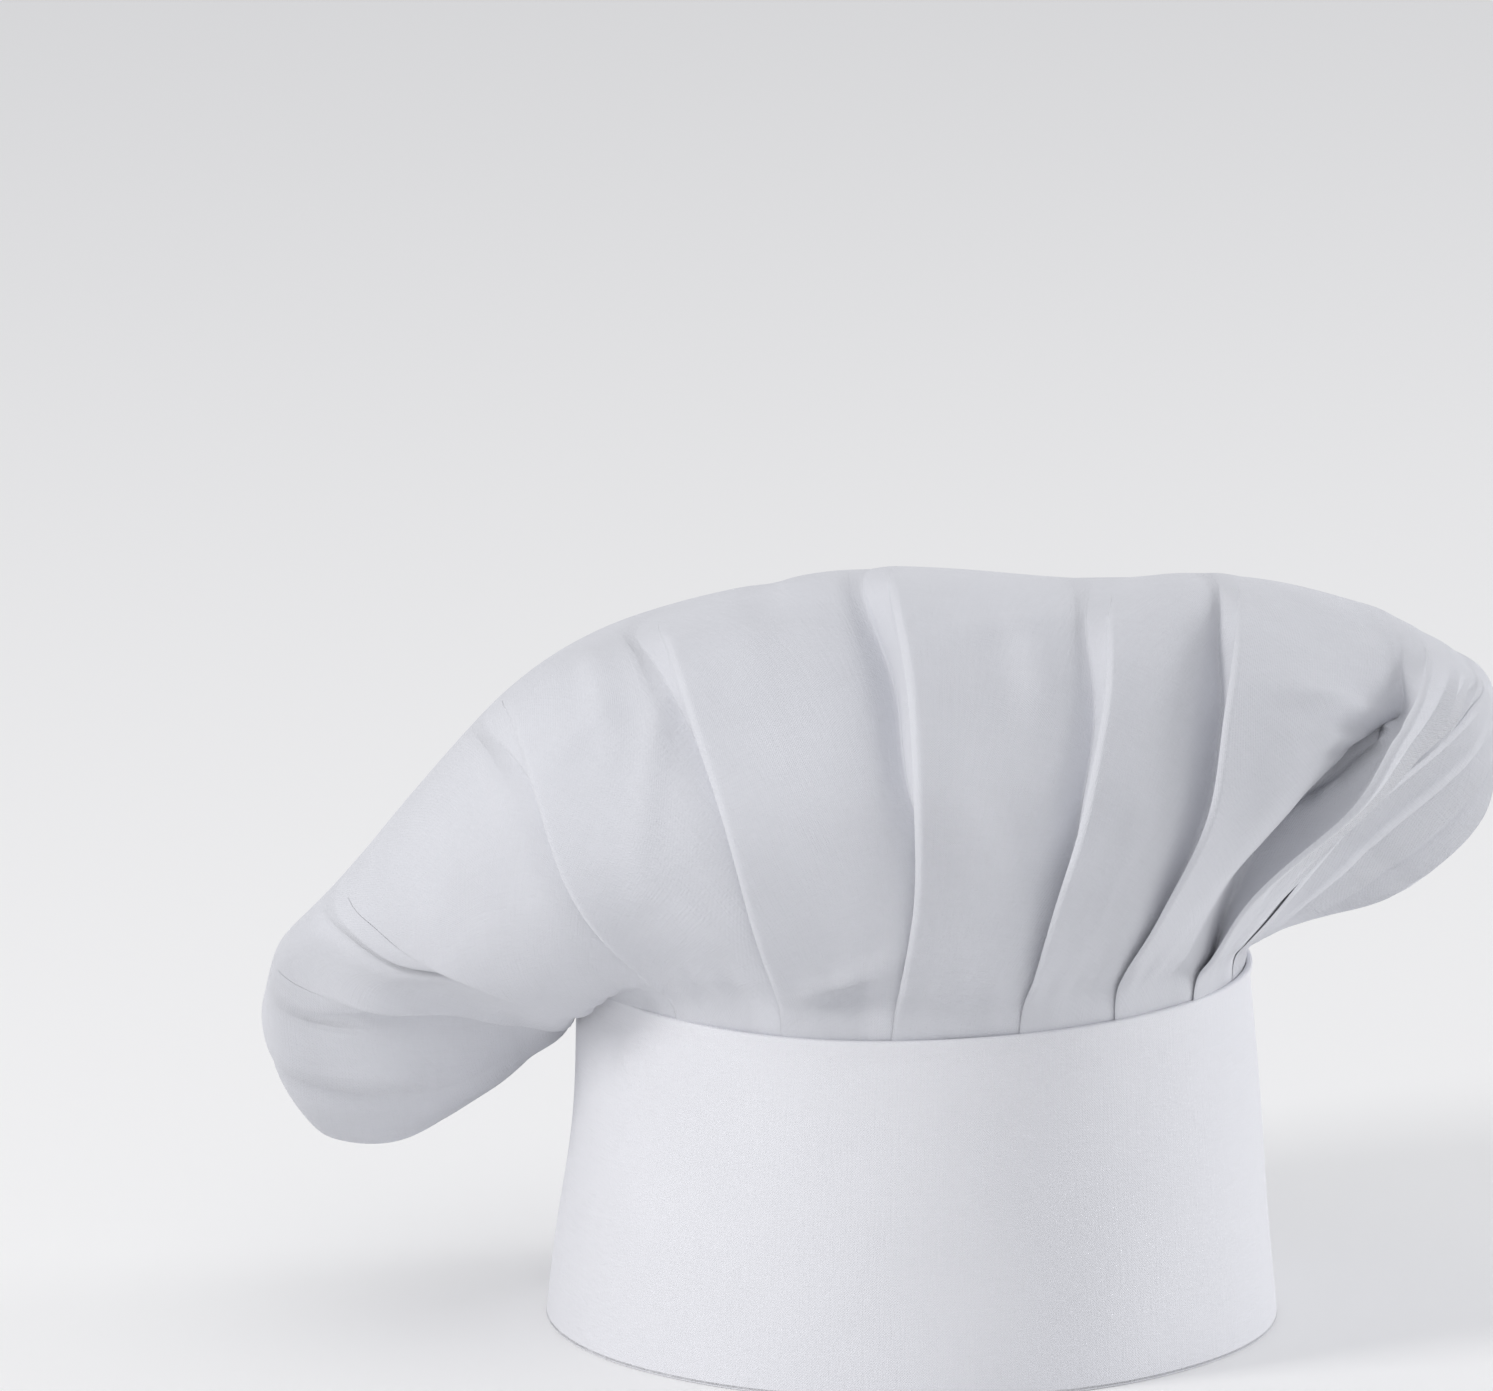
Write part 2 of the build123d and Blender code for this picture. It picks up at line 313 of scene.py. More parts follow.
def pleat_profile(station, pleats):
    """Each pleat's cross-section at rows of stations: the panel, the valley and the wall.

    Returns places across, in pleats, and heights, in millimetres.
    """
    v = station[:, None]
    fade = 1 - smoothstep(pleats["end"] - 0.2, pleats["end"], v)
    ridge = 0.25 + 0.6 * smoothstep(0.02, 0.06, v) + 2.5 * smoothstep(0.04, 0.35, v)
    ridge = ridge * pleats["ridge"] * np.roll(fade, 1, axis=1)
    next_ridge = np.roll(ridge, -1, axis=1)
    valley = 0.25 + 0.5 * smoothstep(0.02, 0.05, v) + 2.4 * smoothstep(0.03, 0.3, v)
    valley = valley * fade * pleats["valley"]
    valley = valley + bump(v, pleats["deep_at"], 0.17) * pleats["deep"] * smoothstep(0.02, 0.12, v)
    opening = plateau(v, 0.12, 0.58, 0.22)
    tuck = 0.26 * (1 - smoothstep(0.0, 0.36, v)) + 0.03 - 0.1 * opening * pleats["open"]
    # Past its end a pleat has let out all of its cloth and lies flat.
    tuck = tuck - 0.16 * smoothstep(pleats["end"] - 0.28, pleats["end"] - 0.03, v)
    arch = bump(v, 0.055, 0.028) * pleats["arch"]
    wide = pleats["wide"]
    places = [
        (0, 0.7 * ridge),
        (0.032, 1.05 * ridge),
        (0.08, 0.96 * ridge),
        (0.25, 0.5 * ridge),
        (0.45, 0.2 * ridge - 0.6 * arch),
        (0.64, 0.02 * ridge - (0.08 + 0.1 * wide) * valley - arch),
        (0.8, -(0.35 + 0.15 * wide) * valley - 0.7 * arch),
        (0.92 + 0.6 * tuck, -(0.8 + 0.15 * wide) * valley),
        (1 + tuck, -valley),
        (1 + 0.9 * tuck, -0.72 * valley),
        (1 + 0.4 * tuck, -0.2 * valley + 0.1 * next_ridge),
        (1 + 0.04 * tuck, 0.45 * next_ridge),
    ]
    across = np.stack([np.broadcast_to(place, ridge.shape) for place, _ in places], -1)
    height = np.stack([np.broadcast_to(rise, ridge.shape) for _, rise in places], -1)
    return across, height


# Smaller folds that run outwards, each with its pleat number and drift, the stations it runs between, its
# half-width in pleats and its height in millimetres.
crown_creases = (
    (3.34, 0.0, 0.12, 0.62, 0.075, 3.0),
    (3.6, 0.05, 0.1, 0.6, 0.065, 4.0),
    (3.84, 0.0, 0.1, 0.62, 0.06, 3.6),
    (4.24, 0.0, 0.1, 0.6, 0.07, 4.3),
    (4.48, -0.05, 0.1, 0.6, 0.065, 4.0),
    (4.74, 0.0, 0.1, 0.6, 0.07, 3.8),
    (5.3, 0.0, 0.1, 0.6, 0.08, 1.6),
    (5.62, 0.0, 0.1, 0.6, 0.07, 1.4),
    (6.4, 0.1, 0.1, 0.6, 0.09, 1.6),
    (-4.44, -0.1, 0.14, 0.7, 0.045, 2.6),
    (-4.7, 0.1, 0.16, 0.56, 0.04, 1.2),
    (-4.88, 0.1, 0.06, 0.46, 0.04, 1.5),
    (-2.5, -0.5, 0.3, 0.55, 0.14, 1.0),
    (-1.45, 0.5, 0.36, 0.62, 0.12, 0.9),
    (0.6, -0.4, 0.34, 0.6, 0.13, 0.9),
    (1.45, 0.4, 0.1, 0.34, 0.12, 0.8),
)

# Folds that run round the crown, each with its pleat number and half-length in pleats, and its station,
# half-width in stations and height in millimetres.
round_folds = (
    (2.62, 0.26, 0.455, 0.017, 2.2),
    (2.8, 0.2, 0.41, 0.014, 1.3),
    (0.45, 0.22, 0.5, 0.02, 0.9),
    (-1.6, 0.25, 0.43, 0.02, 1.0),
    (-0.42, 0.3, 0.085, 0.016, 2.3),
)


def pleats_from(number, place):
    """How far a pleat number lies from a place, the short way round."""
    return (number - place + pleat_count / 2) % pleat_count - pleat_count / 2


def creases(number, station):
    """The smaller folds' heights, in millimetres: steep on one side and easy on the other."""
    rise = np.zeros(number.shape)
    for place, drift, start, end, width, size in crown_creases:
        middle = place + drift * (station - (start + end) / 2)
        away = pleats_from(number, middle) / width
        shape = np.where(away < 0, np.exp(-((2.2 * away) ** 2)), np.exp(-(away**2)))
        shape = shape - 0.55 * np.exp(-(((away + 1.1) / 0.6) ** 2))
        rise += size * shape * plateau(station, start, end, (end - start) / 3)
    for place, length, height, width, size in round_folds:
        away = pleats_from(number, place) / length
        slope = (station - height - 0.02 * away) / width
        rise += size * np.exp(-(away**2)) * (np.exp(-(slope**2)) - 0.5 * np.exp(-((slope + 1.6) ** 2)))
    return rise


def wrinkles(turn, station):
    """Soft unevenness of the cloth, in millimetres along the surface's normal."""
    rise = np.zeros(np.broadcast(turn, station).shape)
    for _ in range(14):
        waves = rng.integers(2, 16)
        along = rng.uniform(1.5, 7.0)
        phase_a, phase_b = rng.uniform(0, 360, 2)
        size = rng.uniform(0.25, 0.6) * 5 / (3 + waves)
        around = np.sin(np.radians(waves * turn + phase_a) + 0.6 * np.sin(6 * station))
        rise += size * around * np.sin(along * math.pi * station + math.radians(phase_b))
    # Short dents, mostly running outwards, with more of them towards the seam.
    for _ in range(150):
        place = rng.uniform(0, 360)
        height = rng.uniform(0.05, 0.95) ** 1.25
        slant = rng.normal(0, 0.5)
        length = rng.uniform(13, 32)
        width = rng.uniform(3.2, 7.5)
        size = rng.normal(0, 0.5)
        # Distances from the dent's middle in millimetres, outwards and round the crown.
        out = (station - height) * 250
        side = ((turn - place + 180) % 360 - 180) * math.radians(95 + 45 * math.sin(math.pi * height))
        along = out * math.cos(slant) + side * math.sin(slant)
        across = side * math.cos(slant) - out * math.sin(slant)
        rise += size * np.exp(-((along / length) ** 2) - (across / width) ** 2)
    uneven = 40 * np.sin(np.radians(7 * turn))
    gathers = 0.3 * np.sin(np.radians(71 * turn + uneven)) * bump(station, 0.075, 0.035)
    return rise * smoothstep(0.03, 0.16, station) * (1 - smoothstep(0.95, 1.0, station)) + gathers


def raised(number, station, rise):
    """Points of the crown at a height above its smooth shape."""
    side = crown_base(number + 0.02, station) - crown_base(number - 0.02, station)
    further = crown_base(number, np.clip(station + 0.004, 0, 1))
    nearer = crown_base(number, np.clip(station - 0.004, 0, 1))
    normal = np.cross(side, further - nearer)
    normal /= np.linalg.norm(normal, axis=2, keepdims=True) + 1e-9
    return crown_base(number, station) + normal * rise[..., None]


def close_middle(piece, columns):
    """Closes the small round hole left at the crown's middle."""
    mesh = bmesh.new()
    mesh.from_mesh(piece.data)
    ring = list(mesh.verts)[-columns:]
    middle = mesh.verts.new(sum((vertex.co for vertex in ring), Vector()) / columns)
    for vertex, following in zip(ring, ring[1:] + ring[:1]):
        mesh.faces.new((vertex, following, middle)).smooth = True
    mesh.to_mesh(piece.data)
    mesh.free()


# How the pleats are shaped: a usual value, and the values of the pleats that differ from it, by pleat number.
# Numbers below 0 count from the front towards -X.
pleat_shapes = {
    # The height of the raised edge.
    "ridge": (0.7, {0: 1.2, 1: 1.1, 2: 0.8, 3: 1.1, 4: 0.38, 5: 0.3, 6: 0.4,
                    -1: 1, -2: 1, -3: 0.8, -4: 0.8, -5: 0.5}),
    # The depth of the valley on the -X side of that edge, and how much deeper it gets around one station.
    "valley": (1, {4: 0.1, 5: 0.1, 6: 0.2, -1: 0.5, -2: 0.5, -3: 0.5, -4: 0.7, -5: 0.5}),
    "deep": (2, {0: 5, 1: 3.5, 2: 5, 3: 11, 4: 0.2, 5: 0.2, 6: 1, -1: 0.5, -2: 0.5, -3: 1, -5: 0.5}),
    "deep_at": (0.3, {0: 0.44, 1: 0.2, 2: 0.39, 3: 0.31}),
    # How much less cloth is tucked in there halfway up, and how far the valley's slope reaches sideways.
    "open": (1, {0: 0.8, 1: 0.3, 2: -0.6, 3: -3.6, 4: 1.8, 5: 0.3, -1: 0.3, -2: 0.3, -3: 0.3, -4: 0.3}),
    "wide": (0, {2: 0.3, 3: 1}),
    # The station where the pleat has faded out.
    "end": (0.6, {0: 0.665, 2: 0.645, 3: 0.655, 4: 0.68, 5: 0.68, 6: 0.68,
                  -1: 0.61, -2: 0.59, -3: 0.47, -4: 0.55}),
    # The depth of the panel's dip over the band.
    "arch": (0.8, {-1: 3.2, 0: 1.2, 2: 0.9, 3: 0.5}),
}

# The crown's last row of points, just before its middle.
last_station = 0.995

# At the closure: how far the crown's edge rises just past the tab's tip, and how far up and in it is tucked
# behind the tab, in millimetres.
tip_rise = 4.4
tucked_rise = 1.9
tucked_inset = 2.1


def make_crown(columns=34, rows=124):
    """The pleated crown, as one sheet from its seam to its middle, with so many columns for each pleat."""
    pleats = {}
    for key, (usual, own) in pleat_shapes.items():
        pleats[key] = np.full(pleat_count, float(usual))
        for pleat, value in own.items():
            pleats[key][pleat] = value
    station = np.linspace(0, 1, rows) * last_station
    # A panel ends in the valley beside the next pleat's edge, so that pleat's values shape the valley.
    for key in ("valley", "deep", "deep_at", "open", "wide", "end"):
        pleats[key] = np.roll(pleats[key], -1)
    across, height = pleat_profile(station, pleats)
    number = np.arange(pleat_count)[:, None] + across
    knots = number.shape[2]
    number = number.reshape(rows, -1)
    height = height.reshape(rows, -1)
    # The spline runs through every pleat in one closed round.
    at = np.linspace(0, pleat_count * knots, pleat_count * columns, endpoint=False)
    index = np.arange(number.shape[1])
    weights = hermite(index, np.eye(len(index)), at, period=len(index))
    number = (number - index / knots) @ weights.T + at / knots
    rise = height @ weights.T
    v = np.broadcast_to(station[:, None], number.shape)
    # The length of cloth round the crown's lower part gives each column its angle on the flat circle.
    low = [int(0.22 * rows)]
    lower = raised(number[low], v[low], rise[low])[0]
    lengths = np.cumsum(np.linalg.norm(np.diff(lower, axis=0, prepend=lower[-1:]), axis=1))
    angle = 2 * math.pi * lengths / lengths[-1]
    # Towards the middle the pleats are gone and the columns lie as evenly as they do on the flat circle.
    even = angle * pleat_count / (2 * math.pi)
    even = even + np.mean(number[low] - even)
    number = number + smoothstep(0.5, 0.85, v) * (even - number)
    rise = rise + creases(number, v) + wrinkles(number * pleat_step, v)
    points = raised(number, v, rise)
    # On the ramp the edge follows the wall inwards. Past the tab's tip it rises and tucks in behind the tab.
    foot = hermite(fold_numbers, fold_feet, number % pleat_count)
    near_edge = 1 - smoothstep(0.004, 0.05, v)
    tucked = plateau(foot % 360, tip_turn + 1, root_turn, 4)
    by_tip = (1 - tucked) * (foot < tip_turn + 9)
    ducked = smoothstep(ramp_turn, tip_turn, foot) * by_tip
    rising = smoothstep(tip_turn - 1, tip_turn + 2, foot) * by_tip
    points[..., 2] += near_edge * (tip_rise * rising + tucked_rise * tucked)
    inwards = near_edge * (duck_depth * ducked + tucked_inset * tucked)
    direction = np.radians(facing(foot))
    points[..., 0] -= np.sin(direction) * inwards
    points[..., 1] += np.cos(direction) * inwards
    out = cut_radius * (1 - v)
    cloth = np.stack([out * np.sin(angle), out * np.cos(angle)], -1)
    piece = grid_object("crown_cloth", points, cloth)
    close_middle(piece, points.shape[1])
    return piece


crown = make_crown()


# ---- Materials ----


class Nodes:
    """A material's shader and short calls that add nodes to it."""

    def __init__(self, name, colour, roughness, sheen=0.0):
        self.material = bpy.data.materials.new(name)
        self.material.use_nodes = True
        self.tree = self.material.node_tree
        self.link = self.tree.links.new
        self.shader = self.tree.nodes["Principled BSDF"]
        self.shader.inputs["Base Color"].default_value = (*colour, 1)
        self.shader.inputs["Roughness"].default_value = roughness
        self.shader.inputs["Sheen Weight"].default_value = sheen
        self.shader.inputs["Sheen Roughness"].default_value = 0.6
        self.shader.inputs["Specular IOR Level"].default_value = 0.3

    def add(self, kind, settings=None, **links):
        """Adds a shader node, with its properties or input values, and links into its inputs by name."""
        node = self.tree.nodes.new("ShaderNode" + kind)
        for key, value in (settings or {}).items():
            if hasattr(node, key):
                setattr(node, key, value)
            else:
                node.inputs[key].default_value = value
        for key, source in links.items():
            self.link(source, node.inputs[key])
        return node

    def place(self):
        return self.add("TexCoord").outputs["Object"]

    def maths(self, operation, first, second=0):
        """Adds a sum of two numbers or outputs. A sine takes only the first."""
        node = self.add("Math", {"operation": operation})
        for slot, value in enumerate((first, second)):
            if isinstance(value, (int, float)):
                node.inputs[slot].default_value = value
            else:
                self.link(value, node.inputs[slot])
        return node.outputs[0]

    def noise(self, vector, stretch, detail=2.0, rough=0.5):
        """Noise over a vector in metres, with so many cells a metre along each axis."""
        scaled = self.add("VectorMath", {"operation": "MULTIPLY"})
        self.link(vector, scaled.inputs[0])
        scaled.inputs[1].default_value = stretch
        settings = {"Scale": 1.0, "Detail": detail, "Roughness": rough}
        return self.add("TexNoise", settings, Vector=scaled.outputs[0]).outputs["Fac"]

    def shade(self, factor, colour, dark, light=1.0):
        """Colours the surface between a darker and a lighter share of a colour."""
        ramp = self.add("ValToRGB", Fac=factor)
        for stop, position, share in zip(ramp.color_ramp.elements, (0.3, 0.7), (dark, light)):
            stop.position = position
            stop.color = (*(min(1.0, value * share) for value in colour), 1)
        self.link(ramp.outputs["Color"], self.shader.inputs["Base Color"])

    def relief(self, height, depth):
        """Raises the surface by a height output, whose full range stands for a depth in metres."""
        bump_node = self.add("Bump", {"Strength": 1.0, "Distance": depth}, Height=height)
        self.link(bump_node.outputs["Normal"], self.shader.inputs["Normal"])

    def vary_roughness(self, factor, low, high):
        spread = self.add("MapRange", {"To Min": low, "To Max": high}, Value=factor)
        self.link(spread.outputs[0], self.shader.inputs["Roughness"])


def woven(name, colour, pitch=0.00052, depth=0.00009, mottle=0.03, twill=False, sheen=0.25):
    """A woven cloth: crossing threads with slubs, and a slow unevenness in its tone. pitch is in metres."""
    nodes = Nodes(name, colour, 0.85, sheen)
    cloth = nodes.add("UVMap", {"uv_map": "cloth"}).outputs["UV"]
    wobble = nodes.noise(cloth, (260, 260, 1))
    split = nodes.add("SeparateXYZ", Vector=cloth)
    turns = 2 * math.pi / pitch
    bend = nodes.maths("MULTIPLY", wobble, 3.0)
    warp = nodes.maths("ADD", nodes.maths("MULTIPLY", split.outputs["X"], turns), bend)
    weft = nodes.maths("ADD", nodes.maths("MULTIPLY", split.outputs["Y"], turns), bend)
    if twill:
        threads = nodes.maths("SINE", nodes.maths("ADD", warp, weft))
    else:
        threads = nodes.maths("MULTIPLY", nodes.maths("SINE", warp), nodes.maths("SINE", weft))
    slub_along = nodes.noise(cloth, (90, 1500, 1), 3)
    slub_across = nodes.noise(cloth, (1500, 90, 1), 3)
    slubs = nodes.maths("ADD", slub_along, slub_across)
    height = nodes.maths("ADD", nodes.maths("MULTIPLY", threads, 0.3), slubs)
    nodes.relief(height, depth)
    place = nodes.place()
    slow = nodes.noise(place, (32, 32, 32), 3)
    tone = nodes.maths("ADD", nodes.maths("MULTIPLY", slow, 0.6), nodes.maths("MULTIPLY", slubs, 0.2))
    nodes.shade(tone, colour, 1 - mottle * 1.6, 1 + mottle)
    nodes.vary_roughness(slubs, 0.74, 0.95)
    return nodes.material


def felted(name, colour):
    """A pressed, unwoven stiffener: matted fibres with a fine dimple pattern."""
    nodes = Nodes(name, colour, 0.9, 0.1)
    place = nodes.place()
    fibres = nodes.noise(place, (900, 900, 2200), 5, 0.7)
    clumps = nodes.noise(place, (150, 150, 150), 2)
    nodes.relief(nodes.maths("ADD", fibres, clumps), 0.00012)
    nodes.shade(fibres, colour, 0.9)
    nodes.vary_roughness(clumps, 0.8, 0.97)
    return nodes.material


def twisted(name, colour, sheen=0.15):
    """Sewing thread: fine diagonal plies with a little gloss."""
    nodes = Nodes(name, colour, 0.5, sheen)
    place = nodes.place()
    settings = {"wave_type": "BANDS", "bands_direction": "DIAGONAL", "Scale": 900.0, "Distortion": 1.5}
    plies = nodes.add("TexWave", settings, Vector=place).outputs["Fac"]
    fuzz = nodes.noise(place, (3000, 3000, 3000), 2)
    nodes.relief(nodes.maths("ADD", plies, nodes.maths("MULTIPLY", fuzz, 0.5)), 0.00006)
    nodes.shade(plies, colour, 0.88)
    nodes.vary_roughness(fuzz, 0.42, 0.62)
    return nodes.material


def moulded(name, colour):
    """The hooks' nylon: smooth and faintly cloudy."""
    nodes = Nodes(name, colour, 0.35)
    nodes.shader.inputs["Specular IOR Level"].default_value = 0.5
    nodes.shader.inputs["Subsurface Weight"].default_value = 0.15
    nodes.shader.inputs["Subsurface Radius"].default_value = (0.001, 0.001, 0.001)
    place = nodes.place()
    clouds = nodes.noise(place, (500, 500, 500), 3)
    nodes.relief(clouds, 0.00005)
    nodes.shade(clouds, colour, 0.93)
    nodes.vary_roughness(clouds, 0.28, 0.45)
    return nodes.material


band_white = woven("band_twill", (0.795, 0.80, 0.84), pitch=0.00065, depth=0.00013, mottle=0.016)
# The crown's cloth is darker than the band's. Part of this is real, since its single thin layer lets light
# through. The rest is painted shade for the shade on the crown's overhanging face.
crown_white_painted_shade = woven("crown_plain_weave_painted_shade", (0.685, 0.695, 0.74), pitch=0.00056, depth=0.00014, mottle=0.03)
lining_white = woven("lining_weave", (0.78, 0.785, 0.80), pitch=0.0005, mottle=0.02)
binding_white = woven("binding_herringbone", (0.80, 0.80, 0.81), pitch=0.0008, depth=0.00014, twill=True)
tape_white = woven("tape_ground", (0.78, 0.785, 0.79), pitch=0.0007, depth=0.00014)
label_white = woven("label_satin", (0.84, 0.84, 0.83), pitch=0.0003, depth=0.00005, sheen=0.4)
stiffener_white = felted("stiffener_felt", (0.74, 0.74, 0.73))
thread_white = twisted("thread_twist", (0.84, 0.84, 0.85))
loop_white = twisted("loop_nap", (0.80, 0.80, 0.81), sheen=0.4)
hook_white = moulded("hook_nylon", (0.76, 0.77, 0.78))


# ---- Pieces that follow the band's wall ----

# How many millimetres of the band a degree of turn takes.
turn_length = math.radians(94.0)

# Each layer's outer and inner face, as insets from the face of the band's outer cloth in millimetres.
outer_faces = (0.0, 0.7)
stiffener_faces = (0.78, 1.5)
lining_faces = (1.6, 2.3)
binding_faces = (2.35, 2.95)
crown_hem_faces = (3.1, 4.1)
hook_tape_faces = (2.36, 2.9)
loop_tape_faces = (4.25, 4.8)
label_hem_faces = (2.36, 3.0)


def on_wall(turn, height, inset):
    """Points on the band's soft wall, at an inset from its outer face, and the outward directions there."""
    x, y, nx, ny = oval(turn, inset, height)
    push = band_dent(turn, height)
    z = height + band_sag(turn, height)
    x, y, z, nx, ny = np.broadcast_arrays(x + nx * push, y + ny * push, z, nx, ny)
    return np.stack([x, y, z], -1), np.stack([nx, ny, np.full(nx.shape, flare)], -1)


def fit_piece(piece, material, node=None, body="band"):
    """Gives a piece its material, hides the CAD node that it stands for and fits it to its body."""
    piece.data.materials.append(material)
    if node:
        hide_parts(node)
    if body == "tab":
        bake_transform(piece)
    else:
        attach(piece, body)


def cap_ends(piece, columns):
    """Closes the two open ends of a tube, with corners of their own so that the edges stay crisp."""
    mesh = bmesh.new()
    mesh.from_mesh(piece.data)
    vertices = list(mesh.verts)
    for ring in (vertices[:columns][::-1], vertices[-columns:]):
        mesh.faces.new([mesh.verts.new(vertex.co) for vertex in ring])
    mesh.to_mesh(piece.data)
    mesh.free()


def edge_outline(near, far, fold_to):
    """An edge of a strip, from its outer face to its inner one: insets, and distances in from the edge.

    It is rounded, or turned in behind to the inset fold_to like a hem.
    """
    if fold_to is None:
        bend = np.radians(np.linspace(0, 180, 7))
        half = (far - near) / 2
        return near + half * (1 - np.cos(bend)), half * (1 - np.sin(bend))
    insets = (near, near + 0.12, near + 0.45, fold_to - 0.1, fold_to, fold_to, far + 0.1, far)
    return np.array(insets), np.array((0.45, 0.13, 0.0, 0.0, 0.2, 0.7, 0.8, 0.9))


def ribbon(name, turn, faces, low, high, duck=0.0, rows=24, lip=0.0, bottom_to=None, top_to=None):
    """A layer of cloth or tape as a closed strip along the wall, between the insets of its two faces.

    low, high and duck, which is added to the insets, may change along the strip. lip swells its top edge
    outwards, and bottom_to and top_to are the insets that its edges are folded in to.
    """
    near, far = faces
    climb = np.concatenate([[0.006], np.linspace(0, 1, rows)[1:-1], [0.994]])
    bottom, bottom_in = edge_outline(near, far, bottom_to)
    top, top_in = edge_outline(near, far, top_to)
    down = climb[::-1]
    inset = np.concatenate([near + 0 * climb, top, far + 0 * down, bottom[::-1]])[None]
    share = np.concatenate([climb, 1 + 0 * top, down, 0 * bottom])[None]
    outer = bottom_in[0] * (1 - climb) - top_in[0] * climb
    inner = bottom_in[-1] * (1 - down) - top_in[-1] * down
    depth = np.concatenate([outer, -top_in, inner, bottom_in[::-1]])[None]
    values = (turn, low, high, duck)
    turn, low, high, duck = (np.broadcast_to(value, np.shape(turn))[:, None] for value in values)
    height = low + share * (high - low) + depth
    outside = np.clip((far - inset) / (far - near), 0, 1)
    inset = inset - lip * outside * smoothstep(-2.4, -1.5, height - high) + duck
    points, _ = on_wall(turn, height, inset)
    steps = np.hypot(np.diff(height, axis=1, prepend=0), np.diff(inset, axis=1, prepend=0))
    girth = turn * turn_length + 0 * height
    piece = grid_object(name, points, np.stack([girth, np.cumsum(steps, axis=1)], -1) * MM)
    cap_ends(piece, points.shape[1])
    return piece


def strands(name, lines, normals, width, stand):
    """Short rounded strands with six sides, one along each line of points."""
    count, length = lines.shape[:2]
    sides = np.radians(np.arange(0, 360, 60))[:, None]
    ahead = np.gradient(lines, axis=1)
    ahead /= np.linalg.norm(ahead, axis=2, keepdims=True)
    side = np.cross(ahead, normals)
    side /= np.linalg.norm(side, axis=2, keepdims=True)
    above = np.cross(side, ahead)
    swell = np.sqrt(1 - 0.96 * np.linspace(-1, 1, length) ** 4)[:, None, None]
    ring = side[:, :, None] * np.cos(sides) * width / 2 + above[:, :, None] * np.sin(sides) * stand / 2
    points = lines[:, :, None] + swell * ring
    i, j = np.meshgrid(np.arange(length - 1) * 6, np.arange(6), indexing="ij")
    k = (j + 1) % 6
    quads = np.stack([i + j, i + k, i + 6 + k, i + 6 + j], -1).reshape(-1, 4)
    starts = np.arange(count) * length * 6
    faces = (starts[:, None, None] + quads).reshape(-1, 4).tolist()
    faces += (starts[:, None] + np.arange(6)[::-1]).tolist()
    faces += (starts[:, None] + (length - 1) * 6 + np.arange(6)).tolist()
    return new_object(name, points.reshape(-1, 3) * MM, faces)


def stitches(name, paths, pitch=3.1, gap=0.5, width=0.55, stand=0.32):
    """Rows of separate stitches. Each path holds turns, heights and insets, close together, along the row."""
    lines, ups = [], []
    along = np.linspace(0, 1, 6)
    for turn, height, inset in paths:
        points, normals = on_wall(turn, height, inset)
        lengths = np.concatenate([[0], np.cumsum(np.linalg.norm(np.diff(points, axis=0), axis=1))])
        count = max(1, round(lengths[-1] / pitch))
        places = (np.arange(count)[:, None] + (gap / 2 + (pitch - gap) * along) / pitch) * lengths[-1] / count
        line, up = (
            np.stack([np.interp(places, lengths, column) for column in values.T], -1)
            for values in (points, normals)
        )
        lines.append(line + up * (stand * (np.sqrt(np.sin(math.pi * along)) - 0.8))[:, None])
        ups.append(up)
    return strands(name, np.concatenate(lines), np.concatenate(ups), width, stand)


def sew(name, paths, node=None, body="band", **shape):
    """Makes a piece of stitches and fits it to its body."""
    fit_piece(stitches(name, paths, **shape), thread_white, node, body)


def stitch_row(start, end, inset):
    """A straight row's turns, heights and insets, between two places given as turns and heights."""
    run = math.hypot((end[0] - start[0]) * turn_length, end[1] - start[1])
    count = max(2, int(run / 0.6))
    turns, heights = np.linspace(start, end, count).T
    return turns, heights, np.full(count, inset)


def stitch_box(turns, heights, inset):
    """A closed rectangle of stitches between two turns and two heights."""
    (left, right), (low, high) = turns, heights
    corners = [(left, low), (right, low), (right, high), (left, high), (left, low)]
    return [stitch_row(a, b, inset) for a, b in zip(corners, corners[1:])]


def node_heights(node):
    """A node's lowest and highest points, in millimetres."""
    low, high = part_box(node)
    return low.z / MM, high.z / MM


# ---- The band: three layers, each a strip that ducks under the tab ----

# The band's free end is cut a little shorter in height where it has ducked under the tab.
closed_turns = np.linspace(root_turn - 360, ramp_turn, 300)
band_turns = np.concatenate([closed_turns, np.linspace(ramp_turn, underlap_end_turn, 80)[1:]])
ducking = smoothstep(ramp_turn, tip_turn, band_turns)
band_duck = duck_depth * ducking
band_bottom = 1.5 * ducking
band_top = band_height - 1.0 * ducking

band = ribbon(
    "band_cloth", band_turns, outer_faces, band_bottom, band_top, band_duck, rows=26, lip=0.9, bottom_to=1.55
)
fit_piece(band, band_white, "band_outer")

stiffener_low, stiffener_high = node_heights("band_interfacing")
stiffener_edges = (stiffener_low + 0.2 + band_bottom, stiffener_high - ducking)
stiffener = ribbon("band_stiffener", band_turns, stiffener_faces, *stiffener_edges, band_duck, rows=10)
fit_piece(stiffener, stiffener_white, "band_interfacing")

lining_edges = (band_bottom + 0.35, band_top - 1.4)
lining = ribbon("lining_cloth", band_turns, lining_faces, *lining_edges, band_duck, rows=26, bottom_to=2.2)
fit_piece(lining, lining_white, "band_lining")

# ---- Inside: a binding over the crown's raw edge, and the stitches through it ----

binding_low, binding_high = node_heights("seam_binding")
binding_turns = closed_turns[2:-2]
waver = 0.25 * np.sin(np.radians(binding_turns * 13)) + 0.2 * np.sin(np.radians(binding_turns * 29 + 50))
binding_edges = (binding_low + waver, binding_high - 1.6 + waver)
binding = ribbon("binding_tape", binding_turns, binding_faces, *binding_edges, rows=14)
fit_piece(binding, binding_white, "seam_binding")

